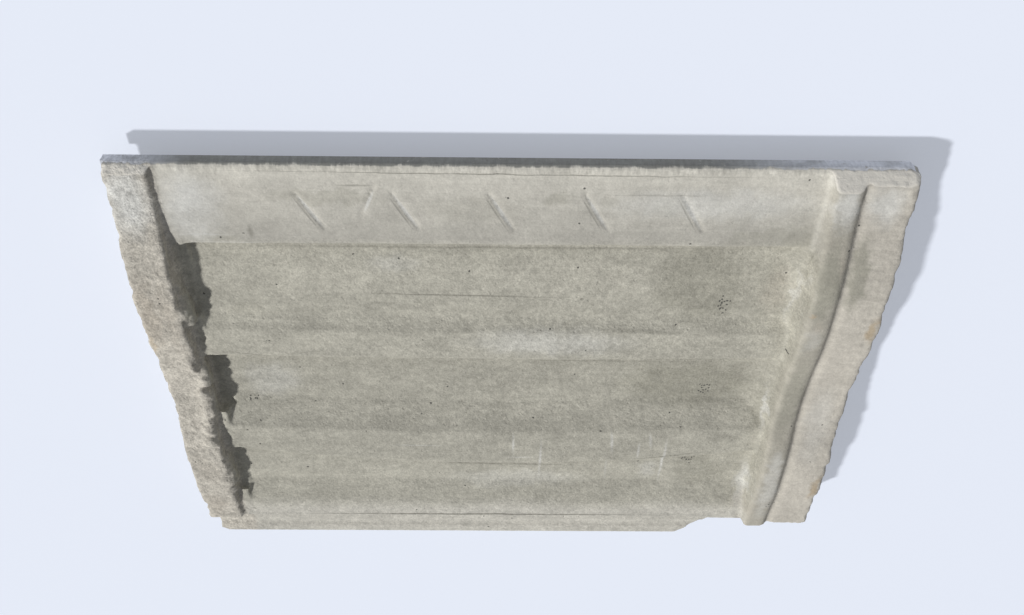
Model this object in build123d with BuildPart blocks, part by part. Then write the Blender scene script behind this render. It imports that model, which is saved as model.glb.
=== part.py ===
from build123d import *
import os

os.makedirs("parts", exist_ok=True)

# One interlocking concrete roof tile, cast in one piece, lying on its weather face.
# X runs from the head (batten lug) to the nose, Y towards the underlap tongue, Z up from the crests.
# A place across the tile is a "run", measured from the tongue's outer edge.
# A place along the tile is a distance from the head end.

# Driving sizes
tile_length = 420
cover_width = 300
side_lap = 30
shell = 13
overrun = 20
tile_width = cover_width + side_lap

# Overlap lip, and the wall that carries it
lip_reach = 27
root_lean = 8.5
root_fillet_run = 4
root_fillet_rise = 3.5
lip_fall = 3.3
lip_bevel_run = 1
lip_bevel_rise = 0.7
lip_root_run = tile_width - lip_reach
body_run = lip_root_run - root_lean

# Weather face: three crests at rest level and two dips between them
crest_shares = (0.115, 0.5, 0.918)
dip_shares = (0.294, 0.731)
dip_depths = (4.4, 6.1)
crest_runs = [share * tile_width for share in crest_shares]
dip_runs = [share * tile_width for share in dip_shares]

# Underside: the wave that lug and nose bars follow, and the bed that lies below it
wave_runs = (0, dip_runs[0], crest_runs[1], dip_runs[1], body_run)
wave_heights = (24.2, 34.5, 27.8, 34.2, 30)
bed_shares = (0, 0.17, 0.425, 0.74, 1)
bed_heights = (18.2, 20.8, 21.8, 23.2, 25.2)
bed_runs = [share * body_run for share in bed_shares]

# Underlap tongue: a deep rib at its edge and a shallow one between two channels of its weather side
tongue_width = 31
rib_height = 10.5
middle_rib_height = 14.2
channel_heights = (14.8, 15)
outer_rib_width = 6
middle_rib_width = 4
outer_channel_width = 6
channel_flare = 2
flank_run = 2.6
bevel_start = 16.6
bevel_run = 6.4
bevel_rise = 6.8
lap_clearance = 1

# Head lug that hooks over the batten
lug_width = 24
lug_drop = 2.2
lug_round = 2.5
lug_depth = 14

# Nose: two weather bars with a groove between them
inner_bar_width = 14
groove_width = 5
outer_bar_width = 25
inner_bar_rise = 2.7
groove_drop = 2.4
flank_width = 4
nose_depth = 18
nose_rounds = (3, 5, 1.5, 5, 3)

# Pans cored out of the bed, between the lug's shelf and the nose's ramp
shelf_width = 7
ramp_run = 28
ramp_rise = 7.6
pan_end_wall = 3
pan_rim_shares = ((0.171, 0.395), (0.462, 0.682), (0.752, 0.965))
pan_bow_shares = ((0, 0.004), (0.008, 0.018), (0.05, 0))
pan_wall_shares = ((0.01, 0.075), (0.01, 0.088), (0.0136, 0.145))
pan_tops = (22, 23, 26)
sink = 1

# Slanted marks moulded into the strip between tongue and pans, and one that leans the other way
mark_width = 2.6
mark_depth = 1.1
mark_length = 29
mark_turn = -59
mark_shares = (0.246, 0.366, 0.487, 0.607, 0.728)
mark_run_share = 0.565
cross_mark_length = 21
cross_mark_turn = 64
cross_mark_share = 0.32
cross_mark_run_share = 0.44

# Lip corner that is missing at the nose, where a narrow lip goes on
corner_length = 87
corner_slant = 22
corner_depth = 18


def at(run, height):
    """A point of a cross-section, on a plane that faces along the tile."""
    return (tile_width / 2 - run, height)


def along(distance):
    """The X of a place at this distance from the head end."""
    return distance - tile_length / 2


def across(run):
    """The Y of a place at this run from the tongue's outer edge."""
    return tile_width / 2 - run


level = (-1, 0)
wave_points = [at(run, height) for run, height in zip(wave_runs, wave_heights)]
bed_points = [at(run, height) for run, height in zip(bed_runs, bed_heights)]

# The tongue's weather side, and the lip's underside that clears the next tile's tongue
rib_start = outer_rib_width + 2 * channel_flare + outer_channel_width
inner_start = rib_start + middle_rib_width + channel_flare
tongue_face = [
    (0, rib_height),
    (outer_rib_width, rib_height),
    (outer_rib_width + channel_flare, channel_heights[0]),
    (rib_start - channel_flare, channel_heights[0]),
    (rib_start, middle_rib_height),
    (rib_start + middle_rib_width, middle_rib_height),
    (inner_start, channel_heights[1]),
    (tongue_width, channel_heights[1]),
    (tongue_width + flank_run, flank_run),
    (crest_runs[0], 0),
]
lip_face = [
    (lip_root_run, rib_height),
    (cover_width + outer_rib_width, rib_height),
    (cover_width + outer_rib_width + channel_flare, channel_heights[0]),
    (cover_width + rib_start - channel_flare, channel_heights[0]),
    (cover_width + rib_start, middle_rib_height),
    (cover_width + rib_start + middle_rib_width, middle_rib_height),
    (cover_width + inner_start, channel_heights[1]),
    (tile_width - lip_bevel_run, channel_heights[1]),
    (tile_width, channel_heights[1] - lip_bevel_rise),
]


def wave(points):
    """A smooth wave that is level at each of its points, with two equal arcs between them."""
    arcs = []
    for start, end in zip(points, points[1:]):
        middle = ((start[0] + end[0]) / 2, (start[1] + end[1]) / 2)
        arcs.append(TangentArc(start, middle, tangent=level))
        arcs.append(TangentArc(middle, end, tangent=arcs[-1] % 1))
    return arcs


def weather(rise):
    """The weather face from the first crest to the last, raised by this much."""
    heights = (rise, rise + dip_depths[0], rise, rise + dip_depths[1], rise)
    runs = (crest_runs[0], dip_runs[0], crest_runs[1], dip_runs[1], crest_runs[2])
    return wave([at(run, height) for run, height in zip(runs, heights)])


def body():
    """The whole cross-section along the tile: weather face, lip, bed and tongue."""
    with BuildPart() as run_of_section:
        with BuildSketch(Plane.YZ.offset(along(0))):
            with BuildLine():
                face = weather(0)
                lip_top = TangentArc(face[-1] @ 1, at(tile_width, lip_fall), tangent=level)
                under_lip = Polyline(
                    lip_top @ 1,
                    *[at(run, height - lap_clearance) for run, height in reversed(lip_face)],
                )
                root = TangentArc(
                    under_lip @ 1,
                    at(lip_root_run - root_fillet_run, rib_height - lap_clearance + root_fillet_rise),
                    tangent=(1, 0),
                )
                Line(root @ 1, bed_points[-1])
                bed = Spline(*reversed(bed_points))
                Polyline(bed @ 1, *[at(run, height) for run, height in tongue_face])
            make_face()
        extrude(amount=tile_length)
    return run_of_section.part


def envelope():
    """All that lies over the weather face and inside the tongue's bevelled corner."""
    top = 2 * wave_heights[1]
    bevel_reach = (top - bevel_start) * bevel_run / bevel_rise
    with BuildPart() as room:
        with BuildSketch(Plane.YZ.offset(along(0))):
            with BuildLine():
                face = weather(0)
                lip_top = TangentArc(face[-1] @ 1, at(tile_width, lip_fall), tangent=level)
                Polyline(
                    lip_top @ 1,
                    at(tile_width, top),
                    at(bevel_reach, top),
                    at(0, bevel_start),
                    *[at(run, height) for run, height in tongue_face],
                )
            make_face()
        extrude(amount=tile_length)
    return room.part


def band(profile, rounds):
    """A band across the tile that follows the underside wave, with rounded corners."""
    corners = [(along(distance), wave_heights[0] + rise) for distance, rise in profile]
    with BuildPart() as swept:
        with BuildLine(Plane.YZ) as path:
            wave(wave_points)
        with BuildSketch(Plane.XZ.offset(-tile_width / 2)):
            with BuildLine():
                outline = FilletPolyline(*corners, radius=rounds)
                Line(outline @ 1, outline @ 0)
            make_face()
        sweep(path=path.line)
    return swept.part


def room_over_floors():
    """What the pans may take: one shell over the weather face, and before the nose's hollow ramp."""
    with BuildPart() as room:
        with BuildSketch(Plane.YZ.offset(along(0))):
            with BuildLine():
                floors = weather(shell)
                Polyline(
                    floors[-1] @ 1,
                    at(crest_runs[2], shell + wave_heights[1]),
                    at(crest_runs[0], shell + wave_heights[1]),
                    floors[0] @ 0,
                )
            make_face()
        extrude(amount=tile_length)
        with BuildSketch(Plane.XZ.offset(-tile_width / 2)):
            with BuildLine():
                ramp = TangentArc(
                    (along(pan_end - ramp_run), shell - sink),
                    (along(pan_end), shell + ramp_rise),
                    tangent=(1, 0),
                )
                Polyline(
                    ramp @ 1,
                    (along(pan_end), shell + 2 * wave_heights[1]),
                    (along(tile_length + overrun), shell + 2 * wave_heights[1]),
                    (along(tile_length + overrun), 0),
                    (along(pan_end - ramp_run), 0),
                    ramp @ 0,
                )
            make_face()
        extrude(amount=tile_width, mode=Mode.SUBTRACT)
    return room.part


def pan(room, rims, bows, walls, top):
    """One pan: a steep near wall, a gentle far wall, and long sides that may bow."""
    with BuildPart() as well:
        for height, share in ((shell - sink, 1), (top, 0)):
            start = along(lug_width + shelf_width + pan_end_wall * share)
            end = along(pan_end)
            middle = (start + end) / 2
            near = across((rims[0] + walls[0] * share) * body_run)
            far = across((rims[1] - walls[1] * share) * body_run)
            near_bow = bows[0] * body_run
            far_bow = bows[1] * body_run
            with BuildSketch(Plane.XY.offset(height)):
                with BuildLine():
                    Spline((start, near), (middle, near - near_bow), (end, near))
                    Line((end, near), (end, far))
                    Spline((end, far), (middle, far - far_bow), (start, far))
                    Line((start, far), (start, near))
                make_face()
        loft()
        add(room, mode=Mode.INTERSECT)
    return well.part


def marks():
    """The slanted marks, as deep all along under the strip's slope."""
    strip_run = pan_rim_shares[0][0] * body_run
    with BuildPart() as cuts:
        with BuildSketch(Plane.YZ.offset(along(0))):
            with BuildLine():
                floor = Spline(*[at(run, height - mark_depth) for run, height in zip(bed_runs, bed_heights)])
                Polyline(
                    floor @ 1,
                    at(body_run, 2 * wave_heights[1]),
                    at(0, 2 * wave_heights[1]),
                    floor @ 0,
                )
            make_face()
        extrude(amount=tile_length)
        with BuildSketch():
            places = [(along(share * tile_length), across(mark_run_share * strip_run)) for share in mark_shares]
            with Locations(*places):
                SlotOverall(mark_length, mark_width, rotation=mark_turn)
            with Locations((along(cross_mark_share * tile_length), across(cross_mark_run_share * strip_run))):
                SlotOverall(cross_mark_length, mark_width, rotation=cross_mark_turn)
        extrude(amount=2 * wave_heights[1], mode=Mode.INTERSECT)
    return cuts.part


def lip_corner():
    """The lip's outer corner that the tile lacks at the nose, with a slanted end."""
    with BuildPart() as corner:
        with BuildSketch():
            with BuildLine():
                Polyline(
                    (along(tile_length - corner_length), across(tile_width)),
                    (along(tile_length - corner_length + corner_slant), across(tile_width - corner_depth)),
                    (along(tile_length + overrun), across(tile_width - corner_depth)),
                    (along(tile_length + overrun), across(tile_width + overrun)),
                    (along(tile_length - corner_length), across(tile_width + overrun)),
                    close=True,
                )
            make_face()
        extrude(amount=wave_heights[1] + overrun)
    return corner.part


inner_bar_start = tile_length - outer_bar_width - groove_width - inner_bar_width
inner_bar_end = inner_bar_start + inner_bar_width
outer_bar_start = tile_length - outer_bar_width
pan_end = inner_bar_start - flank_width / 2
lug_profile = [
    (0, -lug_drop - lug_depth),
    (0, -lug_drop),
    (lug_width, -lug_drop),
    (lug_width, -lug_drop - lug_depth),
]
nose_profile = [
    (inner_bar_start - flank_width, -nose_depth),
    (inner_bar_start, inner_bar_rise),
    (inner_bar_end, inner_bar_rise),
    ((inner_bar_end + outer_bar_start) / 2, -groove_drop),
    (outer_bar_start, 0),
    (tile_length, 0),
    (tile_length, -nose_depth),
]
room = room_over_floors()
pan_sizes = zip(pan_rim_shares, pan_bow_shares, pan_wall_shares, pan_tops)
pans = [pan(room, *sizes) for sizes in pan_sizes]

with BuildPart() as roof_tile:
    add(body())
    for well in pans:
        add(well, mode=Mode.SUBTRACT)
    add(band(lug_profile, (lug_round, lug_round)))
    add(band(nose_profile, nose_rounds))
    add(envelope(), mode=Mode.INTERSECT)
    add(marks(), mode=Mode.SUBTRACT)
    add(lip_corner(), mode=Mode.SUBTRACT)

roof_tile.part.label = "roof_tile"
export_step(roof_tile.part, "parts/roof_tile.step")
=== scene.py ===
"""Looks of a weathered interlocking concrete roof tile, seen on its cored underside."""

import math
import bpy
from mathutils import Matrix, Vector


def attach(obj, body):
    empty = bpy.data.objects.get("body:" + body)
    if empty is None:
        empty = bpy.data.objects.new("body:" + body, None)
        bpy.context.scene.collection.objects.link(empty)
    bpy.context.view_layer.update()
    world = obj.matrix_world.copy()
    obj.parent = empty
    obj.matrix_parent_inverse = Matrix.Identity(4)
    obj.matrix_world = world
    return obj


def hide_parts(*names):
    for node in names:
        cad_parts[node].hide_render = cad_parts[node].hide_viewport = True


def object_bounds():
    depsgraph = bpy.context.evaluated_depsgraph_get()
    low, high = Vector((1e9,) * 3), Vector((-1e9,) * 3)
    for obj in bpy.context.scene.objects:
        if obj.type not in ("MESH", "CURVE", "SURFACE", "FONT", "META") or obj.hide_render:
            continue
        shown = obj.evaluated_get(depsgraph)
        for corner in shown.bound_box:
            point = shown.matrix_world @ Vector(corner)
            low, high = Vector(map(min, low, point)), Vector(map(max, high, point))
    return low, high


bl_info = {
    "name": "Weathered concrete roof tile",
    "version": (1, 0, 0),
    "blender": (4, 5, 0),
    "location": "View3D > Sidebar > Roof tile",
    "description": "Casts the tile with its ragged ends and crumbly lug, gives it sandy concrete, and sets the stage",
    "category": "Object",
}

import bpy
from bpy.props import FloatProperty, FloatVectorProperty, PointerProperty
from mathutils import Vector

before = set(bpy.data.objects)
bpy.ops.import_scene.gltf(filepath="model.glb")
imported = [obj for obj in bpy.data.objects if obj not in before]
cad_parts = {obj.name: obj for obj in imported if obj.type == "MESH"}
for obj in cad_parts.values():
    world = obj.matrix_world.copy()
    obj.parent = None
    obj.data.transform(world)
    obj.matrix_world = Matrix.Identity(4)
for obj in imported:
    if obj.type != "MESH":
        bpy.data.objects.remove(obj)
cad_low, cad_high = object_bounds()

# Distances are from the head, runs from the tongue and heights from the floor, all in mm
MM = 0.001
HALF_LENGTH = 210
HALF_WIDTH = 165
LUG_EDGE = 23.4

# Places where the edge has broken away: distance, run and height of the bite, and its three half sizes
BITES = [
    ((423.5, -1, 20), (9, 5, 22)),
    ((424, 33, 27), (5, 7, 9)),
    ((423.5, 88, 33), (5, 12, 8)),
    ((424, 118, 34), (4.6, 5, 8)),
    ((424.5, 152, 28), (5, 9, 8)),
    ((424, 187, 30), (4.6, 6, 8)),
    ((423.5, 226, 33), (5, 7, 9)),
    ((423.5, 262, 32), (5, 8, 8)),
    ((-3.5, 42, 24), (4.6, 5, 7)),
    ((-3.6, 76, 29), (4.8, 7, 6)),
    ((-3.5, 128, 31), (4.8, 6, 6)),
    ((-3.6, 172, 27), (4.8, 9, 6)),
    ((-3.5, 235, 31), (4.8, 7, 6)),
    ((-3, 277, 29), (4.8, 8, 6)),
    ((-1, 332, 8), (7, 6, 14)),
]

# Crumbs of dry concrete along the lug's inner edge: run, reach beyond the lug, height and half size
CRUMBS = [
    (52, -0.8, 25.5, 3),
    (58, 0, 26.5, 4),
    (65, 0.5, 26.5, 4.5),
    (72, 0.9, 26.5, 5),
    (79, 2.7, 26.5, 5.5),
    (87, 4.3, 26, 6),
    (95, 5.5, 26.5, 6.5),
    (103, 5.7, 26.5, 6),
    (109, 2.7, 26, 4),
    (117, 0.7, 26, 4.5),
    (125, 1.2, 26, 5),
    (133, 0.6, 27.4, 5.9),
    (141, 1.8, 25.9, 5.9),
    (148.5, 4, 24.4, 5.9),
    (155.5, 4.4, 24.4, 5.4),
    (166, 2.6, 24.9, 5.9),
    (174, 3.4, 24.9, 5.9),
    (182, 3, 25.9, 5.9),
    (190, 1, 26.9, 5.4),
    (199, -0.4, 27.9, 5.4),
    (209, -0.8, 28.9, 5.4),
    (219, 0.2, 28.1, 5),
    (227, 2, 28.6, 5),
    (234, 3.6, 28.1, 5.5),
    (242, 4.4, 28.1, 5.5),
    (250, 3.8, 28.1, 5.5),
    (259, 2, 28.1, 5),
    (268, 0.6, 27.6, 5),
    (277, 0, 27.1, 4.5),
    (285, -0.7, 26.6, 4),
]

# Hollows that carry the pans on under the lug's inner edge: first and last run, and floor height
HOLLOWS = [
    (52, 104, 17.4),
    (137, 187, 13.6),
    (222, 266, 19.6),
]

# How light the smooth concrete is at each run, from the tongue to the lip
TONE_BY_RUN = [
    (0, 1.07),
    (10, 1.0),
    (20, 0.94),
    (32, 0.88),
    (46, 0.77),
    (57, 0.72),
    (62, 0.79),
    (75, 0.83),
    (98, 0.74),
    (105, 0.76),
    (109.5, 0.91),
    (115, 0.8),
    (140, 0.73),
    (148, 0.67),
    (166, 0.7),
    (182, 0.73),
    (190, 0.84),
    (200, 0.75),
    (212, 0.72),
    (240, 0.75),
    (258, 0.8),
    (275, 0.82),
    (287, 0.94),
    (297, 0.86),
    (312, 0.93),
    (330, 0.92),
]

# Stains, and dark lines of dirt and painted crease shade, each with its place (distance, run), half sizes along and
# across, turn in degrees and strength
DAMP = [
    ((318, 82), (36, 34), 0, 0.8),
    ((352, 82), (16, 26), 0, 0.3),
    ((322, 167), (56, 25), 0, 1.0),
    ((339, 249), (25, 19), 0, 0.65),
    ((334, 235), (16, 6), -12, 0.6),
    ((364, 47), (12, 14), 0, 0.5),
    ((340, 47), (22, 8), 0, 0.35),
    ((190, 27), (34, 11), 0, 0.2),
    ((382, 66), (9, 31), 0, 0.95),
    ((399, 61), (8, 31), 0, 0.85),
    ((383, 161), (8, 46), 0, 0.75),
    ((368, 180), (6, 30), 0, 0.5),
    ((57, 102), (15, 6), 0, 0.3),
    ((295, 25), (10, 9), 0, 0.45),
    ((234, 21), (10, 5), 0, 0.4),
    ((262, 21), (7, 5), 0, 0.35),
    ((350, 41), (28, 4.5), 0, 0.4),
    ((110, 20), (40, 6), 0, 0.35),
    ((378, 120), (4, 22), 0, 0.35),
    ((47, 46), (20, 4), 0, 0.45),
]
BLOOM = [
    ((42, 26), (22, 29), 0, 0.85),
    ((316, 23), (72, 13), 0, 0.55),
    ((215, 258), (62, 12), 0, 0.25),
    ((382, 107), (7, 14), 0, 0.3),
    ((143, 69), (20, 9), 0, 0.25),
    ((235, 124), (66, 14), 0, 0.42),
    ((62, 166), (24, 20), 0, 0.35),
    ((304, 248), (9, 13), 0, 0.3),
    ((383, 17), (9, 22), 0, 0.8),
    ((404, 18), (14, 17), 0, 0.75),
    ((384, 250), (8, 46), 0, 0.5),
    ((405, 190), (12, 46), 0, 0.3),
    ((370, 262), (6, 34), 0, 0.65),
    ((371.5, 182), (2.2, 23), 0, 0.5),
    ((371.5, 85), (2.4, 27), 0, 0.35),
    ((384, 222), (6, 18), 0, 0.5),
    ((10, 20), (17, 31), 0, 0.95),
]
EARTH = [
    ((6, 95), (10, 40), 0, 0.85),
    ((17, 97), (8, 42), 0, 0.55),
    ((8, 277), (13, 19), 0, 0.5),
    ((372, 275), (11, 14), 0, 0.3),
    ((361, 84), (11, 24), 0, 0.3),
    ((12, 236), (14, 18), 0, 0.25),
    ((388, 53), (4, 12), 0, 0.45),
    ((382, 97), (5, 9), 0, 0.45),
]
RAW_SAND = [
    ((415.5, 100), (4.5, 14), 0, 0.85),
    ((415.5, 248), (4.5, 17), 0, 0.85),
    ((2, 120), (3, 12), 0, 0.5),
    ((379, 86), (2.6, 2.4), 0, 0.7),
]
STREAKS = [
    ((213, 217), (1.2, 15), 0, 0.65),
    ((231, 236), (1.3, 33), 0, 0.7),
    ((277.5, 215), (1.5, 14), 5, 0.65),
    ((295.5, 223), (1.3, 11), 0, 0.6),
    ((302.7, 213), (1.6, 10), 8, 0.7),
    ((313.3, 236), (1.5, 33), 0, 0.75),
    ((276, 246), (1.1, 20), 0, 0.3),
]
# Dark lines: partly dirt in the mould's lines, partly painted crease shade at the feet of the strip's, ribs' and
# pans' edges
DIRT_AND_SHADE_LINES = [
    ((202, 5.3), (178, 0.55), -0.35, 0.75),
    ((128, 12.6), (14, 0.9), 0, 0.5),
    ((290, 17.4), (40, 0.9), 0, 0.3),
    ((200, 57.6), (170, 1.2), 0, 0.5),
    ((180, 90.4), (76, 1.0), -1.1, 0.7),
    ((250.7, 93), (1.7, 1.3), 0, 0.85),
    ((290, 115), (33, 1.9), -3, 0.4),
    ((63, 136.4), (35, 0.8), -8.8, 0.5),
    ((135, 144.7), (40, 0.7), -3.8, 0.4),
    ((268, 147.4), (104, 0.8), 0, 0.45),
    ((205, 242.4), (60, 1.7), -1.5, 0.6),
    ((308, 229.5), (45, 1.2), 11, 0.55),
    ((190, 292.2), (168, 1.1), 0, 0.95),
    ((32.3, 287), (2.6, 1), 0, 0.85),
    ((70.5, 42.4), (2.4, 6), 0, 0.6),
]
PALE_LINES = [
    ((60, 50.2), (31, 0.8), 0, 0.5),
    ((218, 230), (13, 0.7), 0, 0.5),
    ((46, 44.5), (19, 0.8), 0, 0.45),
    ((150, 218.3), (25, 0.5), 0, 0.5),
]
SPECK_CLUSTERS = [
    ((47.7, 182.3), (5.5, 3.4), 0, 1),
    ((333, 172.7), (6, 7), 0, 0.7),
    ((332.7, 96), (5, 8), 0, 0.85),
    ((208, 19.7), (2.4, 1.4), 0, 1),
    ((330, 235), (7, 7), 0, 0.6),
    ((66.5, 124.5), (2.6, 1.6), 0, 0.9),
    ((391.5, 252), (3, 4), 0, 0.7),
    ((390, 266), (5, 5), 0, 0.6),
]

# Struck marks: five strokes at one pitch and one crossing stroke, each with painted shade on its shaded left flank
# and painted light on its lit right flank; the crossing stroke is painted pale like the lit flanks
MARK_PITCH = 50.45
FIRST_MARK = 103.4
PAINTED_LIGHT_FLANK = [((FIRST_MARK, 29), (15, 1.5), -60.5, 0.8)]
PAINTED_SHADE_FLANK = [((FIRST_MARK - 2.1, 29.9), (15, 0.8), -60.5, 0.35)]
CROSS_MARK = [((135, 22.6), (9, 1.3), 66, 0.8)]

# Modelling: sizes in mm
CRUMB_SINK = 2.6
HOLLOW_MIDDLE = 31
HOLLOW_LENGTH = 11
HOLLOW_HEIGHT = 30

# Modelling: sizes in metres
HOLLOW_BEVEL = 0.003
BITE_LUMPINESS = 0.003
CRUMB_LUMPINESS = 0.0022
WELDED = 0.00001

# Modelling: rounds of softening, the angle up to which faces shade as one, and how far down a normal looks
SOFTENING_ROUNDS = 9
SMOOTH_BELOW = math.radians(50)
LOOKS_DOWN = -0.3

# Finish: the lightest tone of the bands, how much blue the pans keep, and the scales of the fine patterns
LIGHTEST_TONE = 1.2
PAN_BLUE = 0.96
SPECK_SCALE = 640
PIT_SCALE = 260
RELIEF_HEIGHT = 0.0006

# Stage: the floor's size, the way the key light shines, and the camera's place and turn in degrees
FLOOR_SIZE = 8
KEY_DIRECTION = (15.75, 8.25, -17.5)
CAMERA_PLACE = (-0.0043914, 0.45404, 0.43363)
CAMERA_TURN = (-43.041, -0.1095, 0.654)


def at(distance, run, height):
    """A point in metres, from its distance from the head, run from the tongue and height in mm."""
    return Vector((distance - HALF_LENGTH, HALF_WIDTH - run, height)) * MM


def along(distance):
    """The x of a distance from the head."""
    return at(distance, 0, 0).x


def across(run):
    """The y of a run from the tongue."""
    return at(0, run, 0).y


class TileSizes(bpy.types.PropertyGroup):
    """Sizes of the cast tile's fine shapes."""

    mesh_grain: FloatProperty(
        name="Mesh grain",
        description="Size of the cells that the cast is remade from",
        default=0.00125,
        min=0.0008,
        max=0.003,
        subtype="DISTANCE",
        unit="LENGTH",
    )
    triangles: FloatProperty(
        name="Triangles",
        description="Most triangles that the finished cast keeps",
        default=186000,
        min=20000,
        max=195000,
    )
    end_raggedness: FloatProperty(
        name="End raggedness",
        description="How far the head and nose ends are worn in",
        default=0.0042,
        min=0,
        max=0.008,
        subtype="DISTANCE",
        unit="LENGTH",
    )
    open_texture: FloatProperty(
        name="Open texture",
        description="How rough the lug and the nose's outer edge are",
        default=0.0011,
        min=0,
        max=0.004,
        subtype="DISTANCE",
        unit="LENGTH",
    )
    lug_crumble: FloatProperty(
        name="Lug crumble",
        description="How rough the lug's inner face is",
        default=0.002,
        min=0,
        max=0.006,
        subtype="DISTANCE",
        unit="LENGTH",
    )
    hand_unevenness: FloatProperty(
        name="Unevenness",
        description="Slow waviness of the cast surface",
        default=0.0007,
        min=0,
        max=0.003,
        subtype="DISTANCE",
        unit="LENGTH",
    )


class ConcreteColours(bpy.types.PropertyGroup):
    """Colours of the concrete, of what has stained it, and of the painted light and shade on its bevels, creases and
    struck marks.
    """

    smooth: FloatVectorProperty(
        name="Smooth",
        description="Smooth concrete of the strip, pans, ribs and lip",
        default=(0.54, 0.515, 0.45),
        min=0,
        max=1,
        subtype="COLOR",
    )
    lug: FloatVectorProperty(
        name="Lug",
        description="Sandy concrete of the lug",
        default=(0.49, 0.455, 0.39),
        min=0,
        max=1,
        subtype="COLOR",
    )
    inner_bar: FloatVectorProperty(
        name="Inner bar",
        description="Concrete of the nose's inner bar",
        default=(0.395, 0.37, 0.31),
        min=0,
        max=1,
        subtype="COLOR",
    )
    outer_bar: FloatVectorProperty(
        name="Outer bar",
        description="Concrete of the nose's outer bar",
        default=(0.5, 0.465, 0.4),
        min=0,
        max=1,
        subtype="COLOR",
    )
    bloom: FloatVectorProperty(
        name="Lime bloom",
        description="Pale lime bloom and streaks",
        default=(0.58, 0.57, 0.53),
        min=0,
        max=1,
        subtype="COLOR",
    )
    damp: FloatVectorProperty(
        name="Damp",
        description="Olive grey damp patches",
        default=(0.32, 0.305, 0.25),
        min=0,
        max=1,
        subtype="COLOR",
    )
    earth: FloatVectorProperty(
        name="Earth",
        description="Pinkish brown of the lug's dry patches",
        default=(0.42, 0.375, 0.31),
        min=0,
        max=1,
        subtype="COLOR",
    )
    raw_sand: FloatVectorProperty(
        name="Raw sand",
        description="Orange brown of bare sand at the nose",
        default=(0.42, 0.34, 0.235),
        min=0,
        max=1,
        subtype="COLOR",
    )
    # Colour of the dark lines, partly dirt and partly painted crease shade, and of the painted shade on the struck
    # marks' shaded flanks
    line: FloatVectorProperty(
        name="Dirt line",
        description="Dirt in the mould's lines",
        default=(0.19, 0.18, 0.15),
        min=0,
        max=1,
        subtype="COLOR",
    )
    speck: FloatVectorProperty(
        name="Specks",
        description="Black lichen specks",
        default=(0.06, 0.06, 0.055),
        min=0,
        max=1,
        subtype="COLOR",
    )
    # Painted light: pale colour that lights the steep bevels beside the tongue, which face away from the key light
    bevel_painted_light: FloatVectorProperty(
        name="Limed bevel",
        description="Lime on the steep bevels beside the tongue",
        default=(0.84, 0.79, 0.69),
        min=0,
        max=1,
        subtype="COLOR",
    )
    coat: FloatVectorProperty(
        name="Coat",
        description="Dark coat of the weather face and the tongue's edge",
        default=(0.3, 0.295, 0.265),
        min=0,
        max=1,
        subtype="COLOR",
    )
    # Paler, bluish grey that the coat turns towards both ends of the tongue's edge
    pale_coat_ends: FloatVectorProperty(
        name="Worn coat",
        description="Pale grey of the coat where it is worn near the ends",
        default=(0.78, 0.79, 0.82),
        min=0,
        max=1,
        subtype="COLOR",
    )


class StageSettings(bpy.types.PropertyGroup):
    """Floor, light and camera."""

    floor: FloatVectorProperty(
        name="Floor",
        description="Colour of the pale floor",
        default=(0.79, 0.83, 0.92),
        min=0,
        max=1,
        subtype="COLOR",
    )
    floor_glow: FloatProperty(
        name="Floor paleness",
        description="Share of the floor's colour that the camera sees unshaded",
        default=0.42,
        min=0,
        max=1,
        subtype="FACTOR",
    )
    key_strength: FloatProperty(
        name="Key strength",
        description="Strength of the key light",
        default=3.3,
        min=0,
        max=10,
    )
    key_softness: FloatProperty(
        name="Key softness",
        description="Angle over which the key light is spread",
        default=math.radians(4),
        min=0,
        max=math.radians(90),
        subtype="ANGLE",
        unit="ROTATION",
    )
    sky: FloatVectorProperty(
        name="Sky",
        description="Colour of the light from all round",
        default=(0.82, 0.86, 0.94),
        min=0,
        max=1,
        subtype="COLOR",
    )
    sky_strength: FloatProperty(
        name="Sky strength",
        description="Strength of the light from all round",
        default=0.3,
        min=0,
        max=2,
    )
    lens: FloatProperty(
        name="Lens",
        description="Camera lens in millimetres",
        default=34.602,
        min=10,
        max=200,
    )


def nothing_selected():
    """Leaves edit mode and deselects everything."""
    if bpy.context.object and bpy.context.object.mode != "OBJECT":
        bpy.ops.object.mode_set(mode="OBJECT")
    bpy.ops.object.select_all(action="DESELECT")


def only(piece):
    """Makes one object the active and only selected one."""
    nothing_selected()
    piece.select_set(True)
    bpy.context.view_layer.objects.active = piece


def apply(piece, modifier):
    """Applies one modifier of a piece."""
    only(piece)
    bpy.ops.object.modifier_apply(modifier=modifier.name)


def joined(pieces, name):
    """Joins pieces into the first one and names it."""
    only(pieces[0])
    for piece in pieces:
        piece.select_set(True)
    bpy.ops.object.join()
    pieces[0].name = name
    return pieces[0]


def shaped(sizes, place, bevel=0.0):
    """Sizes and places the primitive just added, in edit mode, and bevels its edges where that is asked."""
    piece = bpy.context.object
    bpy.ops.object.mode_set(mode="EDIT")
    bpy.ops.mesh.select_all(action="SELECT")
    bpy.ops.transform.resize(value=sizes)
    bpy.ops.transform.translate(value=place)
    if bevel:
        bpy.ops.mesh.bevel(offset=bevel, segments=3)
    bpy.ops.object.mode_set(mode="OBJECT")
    return piece


def cloud(name, size):
    """A noise for the displace modifiers, with lumps of this size in mm."""
    texture = bpy.data.textures.new(name, type="CLOUDS")
    texture.noise_scale = size * MM
    texture.noise_depth = 2
    return texture


def displace(piece, texture, strength, direction="NORMAL", middle=0.5, group=""):
    """Moves the surface by a noise, where a vertex group allows it, and applies that."""
    modifier = piece.modifiers.new("Displace", "DISPLACE")
    modifier.texture = texture
    modifier.texture_coords = "LOCAL"
    modifier.strength = strength
    modifier.mid_level = middle
    modifier.direction = direction
    if group:
        modifier.vertex_group = group
    apply(piece, modifier)


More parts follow.
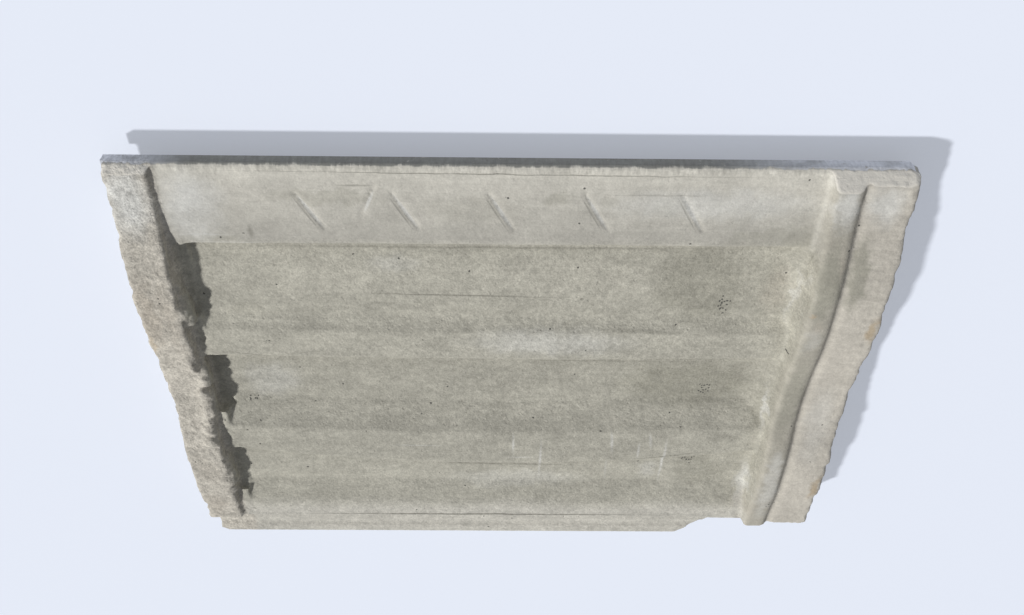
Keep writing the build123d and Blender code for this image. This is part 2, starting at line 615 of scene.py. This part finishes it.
def soften(piece, group):
    """Rounds the edges of a vertex group as a worn mould leaves them."""
    modifier = piece.modifiers.new("Soften", "SMOOTH")
    modifier.factor = 0.5
    modifier.iterations = SOFTENING_ROUNDS
    modifier.vertex_group = group
    apply(piece, modifier)


def cut(piece, cutter):
    """Cuts one closed shape out of a piece, and removes the cutter."""
    modifier = piece.modifiers.new("Cut", "BOOLEAN")
    modifier.operation = "DIFFERENCE"
    modifier.solver = "EXACT"
    modifier.use_self = True
    modifier.object = cutter
    apply(piece, modifier)
    bpy.data.objects.remove(cutter)


def bite_cutters():
    """Lumpy cutters where the edges have broken away."""
    cutters = []
    noise = cloud("bite_lumps", 5)
    for place, sizes in BITES:
        nothing_selected()
        bpy.ops.mesh.primitive_ico_sphere_add(subdivisions=3, radius=MM, location=(0, 0, 0))
        cutter = shaped(sizes, at(*place))
        displace(cutter, noise, BITE_LUMPINESS)
        cutters.append(cutter)
    return joined(cutters, "bite_cutters")


def hollow_cutters():
    """Blocks that take away the shelf between each pan and the lug."""
    cutters = []
    for first, last, floor in HOLLOWS:
        nothing_selected()
        bpy.ops.mesh.primitive_cube_add(size=MM, location=(0, 0, 0))
        middle = at(HOLLOW_MIDDLE, (first + last) / 2, floor + HOLLOW_HEIGHT / 2)
        cutters.append(shaped((HOLLOW_LENGTH, last - first, HOLLOW_HEIGHT), middle, HOLLOW_BEVEL))
    return joined(cutters, "hollow_cutters")


def crumbs():
    """Crumbs of dry concrete that hang together along the lug's inner edge."""
    lumps = []
    noise = cloud("crumb_lumps", 5)
    for number, (run, reach, height, size) in enumerate(CRUMBS):
        nothing_selected()
        bpy.ops.mesh.primitive_ico_sphere_add(subdivisions=3, radius=size * MM, location=(0, 0, 0))
        stretch = (0.9, 1.15, 1 + 0.2 * math.sin(number * 2.3))
        lump = shaped(stretch, at(LUG_EDGE + reach - 0.8 * size, run, height - CRUMB_SINK))
        displace(lump, noise, CRUMB_LUMPINESS)
        lumps.append(lump)
    return joined(lumps, "crumbs")


def ramp(value, start, end):
    """A share from 0 at start to 1 at end."""
    return min(1.0, max(0.0, (value - start) / (end - start)))


def weigh(piece, name, weight_of):
    """A vertex group whose weight follows each vertex's distance, run, height in mm and normal."""
    group = piece.vertex_groups.new(name=name)
    for vertex in piece.data.vertices:
        distance = vertex.co.x / MM + HALF_LENGTH
        run = HALF_WIDTH - vertex.co.y / MM
        weight = weight_of(distance, run, vertex.co.z / MM, vertex.normal)
        if weight > 0:
            group.add([vertex.index], weight, "REPLACE")
    return name


def from_edges(distance, run):
    """Distance in mm from the nearest of the tile's four outer edges."""
    return min(distance, 2 * HALF_LENGTH - distance, run, 2 * HALF_WIDTH - run)


def moulded_bed(distance, run, height, normal):
    """Weight of the smooth bed and pans, between the lug and the nose's bars."""
    if normal.z < LOOKS_DOWN or height < 12:
        return 0
    between = ramp(distance, 34, 40) * (1 - ramp(distance, 372, 382))
    return between * ramp(run, 44, 48) * (1 - ramp(run, 287, 291))


def bar_steps(distance, run, height, normal):
    """Weight of the worn steps beside the nose's two bars."""
    if normal.z < LOOKS_DOWN:
        return 0
    between = 0.8 * ramp(distance, 384, 386) * (1 - ramp(distance, 395, 398))
    return between * ramp(run, 14, 18) * (1 - ramp(run, 286, 290))


def worn_head(distance, run, height, normal):
    """Weight of the wear at the head end."""
    return 1 - ramp(distance, 0.5, 7)


def worn_nose(distance, run, height, normal):
    """Weight of the wear at the nose end."""
    return ramp(distance, 412, 419.5)


def open_texture(distance, run, height, normal):
    """Weight of the open, sandy texture of the lug, the nose's outer edge, the tongue and the lip."""
    if normal.z < LOOKS_DOWN:
        return 0
    lug = 1 - ramp(distance, 24, 30)
    nose = ramp(distance, 398, 412)
    tongue = 0.5 * (1 - ramp(run, 3, 6))
    lip = 0.6 * ramp(run, 322, 326)
    inside = ramp(from_edges(distance, run), 0.3, 2)
    return inside * max(lug, nose, tongue, lip) * (1 - ramp(height, 35.4, 36.6))


def crumbly_face(distance, run, height, normal):
    """Weight of the crumbly inner face of the lug."""
    on_face = ramp(distance, 17, 23) * (1 - ramp(distance, 30, 34))
    return on_face * ramp(run, 44, 54) * ramp(height, 15, 20) * (1 - ramp(run, 288, 294))


def well_inside(distance, run, height, normal):
    """Weight of the slow unevenness, which spares the outer faces."""
    if normal.z < 0:
        return 0
    return ramp(from_edges(distance, run), 1, 8) * (1 - ramp(height, 35, 36.5))


def keep_in_box(piece):
    """Pulls in any vertex that stands outside the solid's own box."""
    for vertex in piece.data.vertices:
        for axis in range(3):
            vertex.co[axis] = min(cad_high[axis], max(cad_low[axis], vertex.co[axis]))


class ROOFTILE_OT_cast(bpy.types.Operator):
    """Make the tile's cast, with its broken edges, crumbly lug, worn moulding and ragged ends"""

    bl_idname = "rooftile.cast"
    bl_label = "Cast the tile"

    def execute(self, context):
        sizes = context.scene.rooftile_sizes
        nothing_selected()
        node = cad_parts["roof_tile"]
        tile = bpy.data.objects.new("roof_tile_cast", node.data.copy())
        context.scene.collection.objects.link(tile)
        tile.data.materials.clear()
        only(tile)
        bpy.ops.object.mode_set(mode="EDIT")
        bpy.ops.mesh.select_all(action="SELECT")
        bpy.ops.mesh.remove_doubles(threshold=WELDED)
        bpy.ops.mesh.normals_make_consistent(inside=False)
        bpy.ops.object.mode_set(mode="OBJECT")

        cut(tile, bite_cutters())
        cut(tile, hollow_cutters())
        tile = joined([tile, crumbs()], "roof_tile_cast")
        remesh = tile.modifiers.new("Remesh", "REMESH")
        remesh.mode = "VOXEL"
        remesh.voxel_size = sizes.mesh_grain
        apply(tile, remesh)

        soften(tile, weigh(tile, "bed", moulded_bed))
        steps = weigh(tile, "bar_steps", bar_steps)
        soften(tile, steps)
        soften(tile, steps)

        # Wear of each region: its weights, direction, and the lump size, strength and middle of each noise
        bays = sizes.end_raggedness
        for name, weight_of, direction, noises in (
            ("head_wear", worn_head, "X", ((14, bays, 0.5), (4, 0.4 * bays, 0.45))),
            ("nose_wear", worn_nose, "X", ((17, -bays, 0.5), (4, -0.4 * bays, 0.45))),
            ("open_texture", open_texture, "NORMAL", ((3.2, sizes.open_texture, 0.5),)),
            ("crumbly_face", crumbly_face, "NORMAL", ((5, sizes.lug_crumble, 0.5),)),
            ("unevenness", well_inside, "NORMAL", ((26, sizes.hand_unevenness, 0.5),)),
        ):
            group = weigh(tile, name, weight_of)
            for lump, strength, middle in noises:
                displace(tile, cloud(name, lump), strength, direction, middle, group)

        fewer = tile.modifiers.new("Fewer", "DECIMATE")
        fewer.ratio = min(1.0, sizes.triangles / (2 * len(tile.data.polygons)))
        apply(tile, fewer)
        keep_in_box(tile)
        only(tile)
        bpy.ops.object.shade_smooth_by_angle(angle=SMOOTH_BELOW)
        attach(tile, "root")
        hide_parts("roof_tile")
        return {"FINISHED"}


def colour(value):
    """A colour property as the four numbers that a node takes."""
    return (*value, 1.0)


class Board:
    """Shorthand for laying nodes into one node tree."""

    def __init__(self, tree):
        self.tree = tree

    def node(self, kind, **settings):
        """A new node with these settings."""
        made = self.tree.nodes.new(kind)
        for name, value in settings.items():
            setattr(made, name, value)
        return made

    def feed(self, socket, value):
        """Links a socket, or sets it when the value is a number or a tuple."""
        if isinstance(value, bpy.types.NodeSocket):
            self.tree.links.new(value, socket)
        else:
            socket.default_value = value

    def math(self, operation, first, second):
        """One sum of two values."""
        made = self.node("ShaderNodeMath", operation=operation)
        self.feed(made.inputs[0], first)
        self.feed(made.inputs[1], second)
        return made.outputs[0]

    def times(self, first, *others):
        """The product of all values."""
        for other in others:
            first = self.math("MULTIPLY", first, other)
        return first

    def span(self, value, low, high, start=0.0, end=1.0):
        """A soft change from start, where the value is low, to end, where it is high."""
        made = self.node("ShaderNodeMapRange", interpolation_type="SMOOTHSTEP")
        for name, given in (
            ("Value", value),
            ("From Min", low),
            ("From Max", high),
            ("To Min", start),
            ("To Max", end),
        ):
            self.feed(made.inputs[name], given)
        return made.outputs[0]

    def straight_span(self, value, low, high):
        """An even change from 0, where the value is low, to 1, where it is high."""
        made = self.node("ShaderNodeMapRange")
        for name, given in (("Value", value), ("From Min", low), ("From Max", high)):
            self.feed(made.inputs[name], given)
        return made.outputs[0]

    def swing(self, value, reach, share):
        """A factor around 1 that follows a noise, as far as the share lets it."""
        centred = self.span(value, 0.22, 0.78, -reach, reach)
        return self.math("ADD", 1.0, self.times(centred, share))

    def mix(self, share, first, second, blend="MIX"):
        """Two colours mixed by a share."""
        made = self.node("ShaderNodeMix", data_type="RGBA", blend_type=blend, clamp_factor=True)
        self.feed(made.inputs[0], share)
        self.feed(made.inputs[6], first)
        self.feed(made.inputs[7], second)
        return made.outputs[2]

    def grey(self, value):
        """One value as a colour."""
        made = self.node("ShaderNodeCombineColor")
        for socket in made.inputs[:3]:
            self.feed(socket, value)
        return made.outputs[0]

    def vector(self, operation, first, second):
        """One vector sum of two vectors."""
        made = self.node("ShaderNodeVectorMath", operation=operation)
        self.feed(made.inputs[0], first)
        self.feed(made.inputs[1], second)
        return made.outputs[0]

    def split(self, vector):
        """The three parts of a vector."""
        made = self.node("ShaderNodeSeparateXYZ")
        self.feed(made.inputs[0], vector)
        return made.outputs

    def noise(self, vector, scale, detail, rough, stretch=None):
        """A noise, with its lumps stretched where that is asked."""
        if stretch:
            mapped = self.node("ShaderNodeMapping")
            self.feed(mapped.inputs["Vector"], vector)
            mapped.inputs["Scale"].default_value = stretch
            vector = mapped.outputs[0]
        made = self.node("ShaderNodeTexNoise")
        self.feed(made.inputs["Vector"], vector)
        made.inputs["Scale"].default_value = scale
        made.inputs["Detail"].default_value = detail
        made.inputs["Roughness"].default_value = rough
        return made

    def bent(self, vector, scale, reach):
        """The place shifted by a slow noise, which makes edges waver."""
        bend = self.noise(vector, scale, 3, 0.6)
        offset = self.vector("SUBTRACT", bend.outputs["Color"], (0.5, 0.5, 0.5))
        shift = self.node("ShaderNodeVectorMath", operation="SCALE")
        self.feed(shift.inputs[0], offset)
        shift.inputs["Scale"].default_value = reach
        return self.vector("ADD", vector, shift.outputs[0])


def patch_group(turned):
    """A soft-edged oval mask at a place, with its own half sizes, and for a turned one its angles."""
    group = bpy.data.node_groups.new("Turned patch" if turned else "Straight patch", "ShaderNodeTree")
    for title, kind, default in (
        ("Vector", "NodeSocketVector", (0, 0, 0)),
        ("Place", "NodeSocketVector", (0, 0, 0)),
        ("Half Sizes", "NodeSocketVector", (0.01, 0.01, 1)),
        ("Turn", "NodeSocketVector", (0, 0, 0)),
        ("Core", "NodeSocketFloat", 0.4),
        ("Strength", "NodeSocketFloat", 1.0),
    ):
        socket = group.interface.new_socket(name=title, in_out="INPUT", socket_type=kind)
        socket.default_value = default
    group.interface.new_socket(name="Mask", in_out="OUTPUT", socket_type="NodeSocketFloat")
    board = Board(group)
    given = board.node("NodeGroupInput").outputs
    result = board.node("NodeGroupOutput")
    if turned:
        mapped = board.node("ShaderNodeMapping", vector_type="TEXTURE")
        board.feed(mapped.inputs["Vector"], given["Vector"])
        board.feed(mapped.inputs["Location"], given["Place"])
        board.feed(mapped.inputs["Rotation"], given["Turn"])
        board.feed(mapped.inputs["Scale"], given["Half Sizes"])
        scaled = mapped.outputs[0]
    else:
        centred = board.vector("SUBTRACT", given["Vector"], given["Place"])
        scaled = board.vector("DIVIDE", centred, given["Half Sizes"])
    length = board.node("ShaderNodeVectorMath", operation="LENGTH")
    board.feed(length.inputs[0], scaled)
    fade = board.span(length.outputs["Value"], 1, given["Core"], 0, given["Strength"])
    board.feed(result.inputs["Mask"], fade)
    return group


class Ground:
    """What the finish is laid by: places on the tile, its regions, its noises and its patches."""

    def __init__(self, board):
        self.board = board
        self.ovals = (patch_group(False), patch_group(True))
        coordinates = board.node("ShaderNodeTexCoord")
        self.place = coordinates.outputs["Object"]
        self.x, self.y, self.z = board.split(self.place)
        self.facing = board.split(coordinates.outputs["Normal"])
        self.warped = board.bent(self.place, scale=90, reach=0.016)
        self.drifted = board.bent(self.place, scale=16, reach=0.009)
        self.wavering = board.bent(self.place, scale=60, reach=0.0016)
        self.grain = self.noise(scale=900, detail=3, rough=0.7)
        self.sand = self.noise(scale=330, detail=3, rough=0.65)
        self.blotch = self.noise(scale=42, detail=4, rough=0.62)
        self.clouding = self.noise(scale=110, detail=3, rough=0.6, stretch=(0.6, 1, 1))
        self.drag = self.noise(scale=1, detail=4, rough=0.7, stretch=(28, 260, 60))
        self.comb = self.noise(scale=1, detail=2, rough=0.6, stretch=(480, 140, 140))
        self.lug = board.span(self.x, along(29), along(24))
        self.bars = board.span(self.x, along(374), along(377))

    def noise(self, **settings):
        """A noise over the tile."""
        return self.board.noise(self.place, **settings).outputs["Fac"]

    def patches(self, vector, table, core):
        """The strongest of a table of oval patches."""
        total = None
        for (distance, run), (half_x, half_y), turn, strength in table:
            made = self.board.node("ShaderNodeGroup", node_tree=self.ovals[turn != 0])
            self.board.feed(made.inputs["Vector"], vector)
            made.inputs["Place"].default_value = at(distance, run, 20)
            made.inputs["Half Sizes"].default_value = (half_x * MM, half_y * MM, 1)
            made.inputs["Turn"].default_value = (0, 0, math.radians(turn))
            made.inputs["Core"].default_value = core
            made.inputs["Strength"].default_value = strength
            mask = made.outputs["Mask"]
            total = mask if total is None else self.board.math("MAXIMUM", total, mask)
        return total


def concrete_tint(board, ground, colours):
    """Smooth concrete in lighter and darker bands across the tile, the lug, and the nose's two bars."""
    run_share = board.straight_span(board.split(ground.drifted)[1], across(0), across(2 * HALF_WIDTH))
    bands = board.node("ShaderNodeValToRGB")
    board.feed(bands.inputs[0], run_share)
    stops = bands.color_ramp.elements
    while len(stops) < len(TONE_BY_RUN):
        stops.new(0.5)
    for stop, (run, tone) in zip(stops, TONE_BY_RUN):
        light = tone / LIGHTEST_TONE
        stop.position = run / (2 * HALF_WIDTH)
        stop.color = (light, light, light * (PAN_BLUE if 50 < run < 285 else 1), 1)
    lightest = (LIGHTEST_TONE, LIGHTEST_TONE, LIGHTEST_TONE, 1)
    bands = board.mix(1.0, bands.outputs[0], lightest, "MULTIPLY")
    tint = board.mix(1.0, colour(colours.smooth), bands, "MULTIPLY")
    outer = board.span(ground.x, along(389), along(392))
    for region, paint in (
        (ground.lug, colours.lug),
        (ground.bars, colours.inner_bar),
        (outer, colours.outer_bar),
    ):
        tint = board.mix(region, tint, colour(paint))
    return tint


def stained(board, ground, colours, tint):
    """The tint with its stains, streaks, dark lines of dirt and painted crease shade, and pale ridges."""
    for table, core, low, high, paint in (
        (DAMP, 0.45, 0.3, 0.5, colours.damp),
        (BLOOM, 0.25, 0.3, 0.52, colours.bloom),
        (EARTH, 0.2, 0.3, 0.5, colours.earth),
        (RAW_SAND, 0.3, 0.3, 0.45, colours.raw_sand),
    ):
        cover = board.span(ground.blotch, low, high, 0.65, 1.0)
        mask = board.times(ground.patches(ground.warped, table, core), cover)
        tint = board.mix(mask, tint, colour(paint))
    for table, core, low, faintest, paint in (
        (STREAKS, 0.1, 0.3, 0.5, colours.bloom),
        # Dark lines: partly dirt, partly painted crease shade at the feet of edges
        (DIRT_AND_SHADE_LINES, 0.2, 0.25, 0.4, colours.line),
    ):
        cover = board.span(ground.clouding, low, 0.55, faintest, 1.0)
        mask = board.times(ground.patches(ground.wavering, table, core), cover)
        tint = board.mix(mask, tint, colour(paint))
    return board.mix(ground.patches(ground.wavering, PALE_LINES, 0.2), tint, colour(colours.bloom))


def struck_marks(board, ground):
    """Masks of the struck marks: painted shade on their shaded left flank, and painted light on their lit right
    flank.
    """
    marked = board.node("ShaderNodeVectorMath", operation="WRAP")
    board.feed(marked.inputs[0], ground.place)
    marked.inputs[1].default_value = (along(FIRST_MARK + MARK_PITCH / 2), 1, 1)
    marked.inputs[2].default_value = (along(FIRST_MARK - MARK_PITCH / 2), -1, -1)
    room = board.times(
        board.span(ground.x, along(80), along(82)),
        board.span(ground.x, along(329), along(327)),
        board.span(ground.sand, 0.3, 0.5, 0.6, 1.0),
    )
    dark = board.times(ground.patches(marked.outputs[0], PAINTED_SHADE_FLANK, 0.3), room)
    pale = board.times(ground.patches(marked.outputs[0], PAINTED_LIGHT_FLANK, 0.3), room)
    return dark, board.math("MAXIMUM", pale, ground.patches(ground.place, CROSS_MARK, 0.3))


def grain_loudness(board, ground):
    """How much the grain shows: strong on the lug, faint on the strip and the bars."""
    strip = board.span(ground.y, across(58), across(44))
    quiet = board.math("MAXIMUM", board.times(strip, 0.42), board.times(ground.bars, 0.4))
    quiet = board.times(quiet, board.span(ground.lug, 0, 1, 1, 0))
    return board.math("SUBTRACT", board.math("ADD", 0.88, board.times(ground.lug, 0.4)), quiet)


def mottling(board, ground, loud):
    """Light and dark of sand, grain, clouds, blotches, marks of the mould and the tongue's toothed edge."""
    toothed = board.span(ground.y, across(6), across(4))
    return board.times(
        board.swing(ground.sand, 0.17, loud),
        board.swing(ground.grain, 0.2, loud),
        board.swing(ground.clouding, 0.09, loud),
        board.swing(ground.blotch, 0.1, 1.0),
        board.swing(ground.drag, 0.05, 1.0),
        board.swing(ground.comb, 0.18, toothed),
    )


def specks(board, ground):
    """Mask of the black specks, in clusters and sparse all over."""
    cells = board.node("ShaderNodeTexVoronoi", voronoi_dimensions="2D")
    board.feed(cells.inputs["Vector"], board.bent(ground.place, scale=700, reach=0.0012))
    cells.inputs["Scale"].default_value = SPECK_SCALE
    dots = board.span(cells.outputs["Distance"], 0.46, 0.34)
    chance = board.node("ShaderNodeSeparateColor")
    board.feed(chance.inputs[0], cells.outputs["Color"])
    clusters = ground.patches(ground.wavering, SPECK_CLUSTERS, 0.35)
    chosen = board.math("ADD", chance.outputs[0], board.times(clusters, 0.6))
    return board.times(dots, board.math("GREATER_THAN", chosen, 0.999), 0.85)


def bevel_light_mask(board, ground):
    """Mask of the steep bevels where the lug and the bars meet the tongue, which get painted light."""
    return board.times(
        board.span(ground.facing[1], 0.3, 0.6),
        board.span(ground.y, across(14), across(11)),
        board.span(ground.z, 0.0174, 0.0186),
        board.span(ground.clouding, 0.25, 0.45, 0.6, 1.0),
    )


def coated(board, ground, colours, shade, tint):
    """The tint with the coat of the weather face, the tongue's edge and the nose end over it."""
    ragged = board.math(
        "ADD",
        board.times(board.math("SUBTRACT", ground.clouding, 0.5), 0.006),
        board.times(board.math("SUBTRACT", ground.comb, 0.5), 0.0022),
    )
    under = board.times(board.span(ground.facing[2], -0.05, -0.35), board.span(ground.z, 0.016, 0.014))
    tongue_side = board.times(
        board.span(ground.facing[1], 0.35, 0.6),
        board.span(board.math("ADD", ground.y, ragged), across(3), across(2)),
        board.span(board.math("ADD", ground.z, ragged), 0.0182, 0.0172),
    )
    nose_end = board.times(
        board.span(ground.facing[0], 0.5, 0.8),
        board.span(ground.z, 0.021, 0.017),
        board.span(ground.x, along(406), along(410)),
    )
    cover = board.math("MAXIMUM", board.math("MAXIMUM", under, tongue_side), nose_end)
    cover = board.times(cover, board.span(ground.sand, 0.24, 0.36))
    # Towards both ends of the tongue's edge the coat turns a paler, bluish grey
    near_ends = board.math(
        "MAXIMUM",
        board.span(ground.x, along(300), along(395)),
        board.span(ground.x, along(50), along(5)),
    )
    worn = board.times(near_ends, tongue_side, board.span(ground.clouding, 0.3, 0.5, 0.6, 0.95))
    coat = board.mix(worn, colour(colours.coat), colour(colours.pale_coat_ends))
    coat = board.mix(1.0, coat, board.mix(0.4, shade, (1, 1, 1, 1)), "MULTIPLY")
    return board.mix(cover, tint, coat)


def relief(board, ground, loud, shade_flank_mask):
    """Bumped normal of the grains, sand, small pits, marks of the mould and struck marks."""
    pits = board.node("ShaderNodeTexVoronoi")
    board.feed(pits.inputs["Vector"], ground.place)
    pits.inputs["Scale"].default_value = PIT_SCALE
    pitted = board.times(board.span(pits.outputs["Distance"], 0.28, 0.1), -0.3)
    height = board.math("ADD", board.times(ground.grain, 0.55), ground.sand)
    height = board.times(board.math("ADD", height, pitted), board.times(loud, 0.85))
    height = board.math("ADD", height, board.times(ground.drag, 0.5))
    height = board.math("SUBTRACT", height, board.times(shade_flank_mask, 0.5))
    bump = board.node("ShaderNodeBump")
    bump.inputs["Strength"].default_value = 1.0
    bump.inputs["Distance"].default_value = RELIEF_HEIGHT
    board.feed(bump.inputs["Height"], height)
    return bump.outputs[0]


def weathered_concrete(colours):
    """Sandy grey concrete with lime bloom, damp and brown patches, specks and a dark coat outside."""
    material = bpy.data.materials.new("weathered_concrete")
    material.use_nodes = True
    board = Board(material.node_tree)
    ground = Ground(board)
    loud = grain_loudness(board, ground)
    shade = board.grey(mottling(board, ground, loud))
    shade_flank_mask, light_flank_mask = struck_marks(board, ground)

    tint = stained(board, ground, colours, concrete_tint(board, ground, colours))
    # Painted shade on the struck marks' shaded flanks, then painted light on their lit flanks
    tint = board.mix(shade_flank_mask, tint, colour(colours.line))
    tint = board.mix(light_flank_mask, tint, colour(colours.bloom))
    tint = board.mix(1.0, tint, shade, "MULTIPLY")
    tint = board.mix(specks(board, ground), tint, colour(colours.speck))
    # Painted light on the steep bevels beside the tongue
    tint = board.mix(bevel_light_mask(board, ground), tint, colour(colours.bevel_painted_light))
    tint = coated(board, ground, colours, shade, tint)

    surface = material.node_tree.nodes["Principled BSDF"]
    board.feed(surface.inputs["Base Color"], tint)
    board.feed(surface.inputs["Normal"], relief(board, ground, loud, shade_flank_mask))
    board.feed(surface.inputs["Roughness"], board.span(ground.grain, 0.2, 0.8, 0.86, 0.98))
    surface.inputs["Specular IOR Level"].default_value = 0.3
    return material


class ROOFTILE_OT_finish(bpy.types.Operator):
    """Give the cast tile its weathered concrete"""

    bl_idname = "rooftile.finish"
    bl_label = "Finish the concrete"

    def execute(self, context):
        tile = bpy.data.objects.get("roof_tile_cast")
        if tile is None:
            raise RuntimeError("The tile isn't cast yet")
        tile.data.materials.clear()
        tile.data.materials.append(weathered_concrete(context.scene.rooftile_colours))
        return {"FINISHED"}


def pale_floor(stage):
    """Pale sheet that keeps the shadow but shows part of its colour unshaded to the camera."""
    material = bpy.data.materials.new("pale_floor")
    material.use_nodes = True
    board = Board(material.node_tree)
    surface = material.node_tree.nodes["Principled BSDF"]
    output = material.node_tree.nodes["Material Output"]
    surface.inputs["Base Color"].default_value = colour(stage.floor)
    surface.inputs["Roughness"].default_value = 0.9
    glow = board.node("ShaderNodeEmission")
    glow.inputs["Color"].default_value = colour(stage.floor)
    seen = board.node("ShaderNodeLightPath").outputs["Is Camera Ray"]
    blend = board.node("ShaderNodeMixShader")
    board.feed(blend.inputs[0], board.times(seen, stage.floor_glow))
    board.feed(blend.inputs[1], surface.outputs[0])
    board.feed(blend.inputs[2], glow.outputs[0])
    board.feed(output.inputs["Surface"], blend.outputs[0])
    return material


class ROOFTILE_OT_stage(bpy.types.Operator):
    """Lay the pale floor, and set the key light, the sky and the camera"""

    bl_idname = "rooftile.stage"
    bl_label = "Set the stage"

    def execute(self, context):
        stage = context.scene.rooftile_stage
        nothing_selected()
        bpy.ops.mesh.primitive_plane_add(size=FLOOR_SIZE, location=(0, 0, 0))
        floor = context.object
        floor.name = "floor"
        floor.data.materials.append(pale_floor(stage))

        nothing_selected()
        bpy.ops.object.light_add(type="SUN", location=(-1, -0.6, 1.2))
        key = context.object
        key.name = "key"
        key.data.energy = stage.key_strength
        key.data.angle = stage.key_softness
        key.rotation_euler = Vector(KEY_DIRECTION).to_track_quat("-Z", "Y").to_euler()

        world = bpy.data.worlds.new("sky")
        world.use_nodes = True
        background = world.node_tree.nodes["Background"]
        background.inputs["Color"].default_value = colour(stage.sky)
        background.inputs["Strength"].default_value = stage.sky_strength
        context.scene.world = world

        nothing_selected()
        turn = tuple(math.radians(angle) for angle in CAMERA_TURN)
        bpy.ops.object.camera_add(location=CAMERA_PLACE, rotation=turn)
        camera = context.object
        camera.data.sensor_width = 36
        camera.data.lens = stage.lens
        camera.data.clip_start = 0.01
        context.scene.camera = camera
        context.scene.view_settings.view_transform = "Standard"
        return {"FINISHED"}


class ROOFTILE_PT_panel(bpy.types.Panel):
    """Roof tile tools"""

    bl_idname = "ROOFTILE_PT_panel"
    bl_label = "Roof tile"
    bl_space_type = "VIEW_3D"
    bl_region_type = "UI"
    bl_category = "Roof tile"

    def draw(self, context):
        column = self.layout.column()
        for settings, operator in STEPS:
            column.operator(operator)
            group = getattr(context.scene, settings)
            for name in group.__annotations__:
                column.prop(group, name)


STEPS = (
    ("rooftile_sizes", "rooftile.cast"),
    ("rooftile_colours", "rooftile.finish"),
    ("rooftile_stage", "rooftile.stage"),
)
CLASSES = (
    TileSizes,
    ConcreteColours,
    StageSettings,
    ROOFTILE_OT_cast,
    ROOFTILE_OT_finish,
    ROOFTILE_OT_stage,
    ROOFTILE_PT_panel,
)


def register():
    for part in CLASSES:
        bpy.utils.register_class(part)
    bpy.types.Scene.rooftile_sizes = PointerProperty(type=TileSizes)
    bpy.types.Scene.rooftile_colours = PointerProperty(type=ConcreteColours)
    bpy.types.Scene.rooftile_stage = PointerProperty(type=StageSettings)


def unregister():
    del bpy.types.Scene.rooftile_stage
    del bpy.types.Scene.rooftile_colours
    del bpy.types.Scene.rooftile_sizes
    for part in reversed(CLASSES):
        bpy.utils.unregister_class(part)


def main():
    register()
    bpy.ops.rooftile.cast()
    bpy.ops.rooftile.finish()
    bpy.ops.rooftile.stage()


if __name__ == "__main__":
    main()
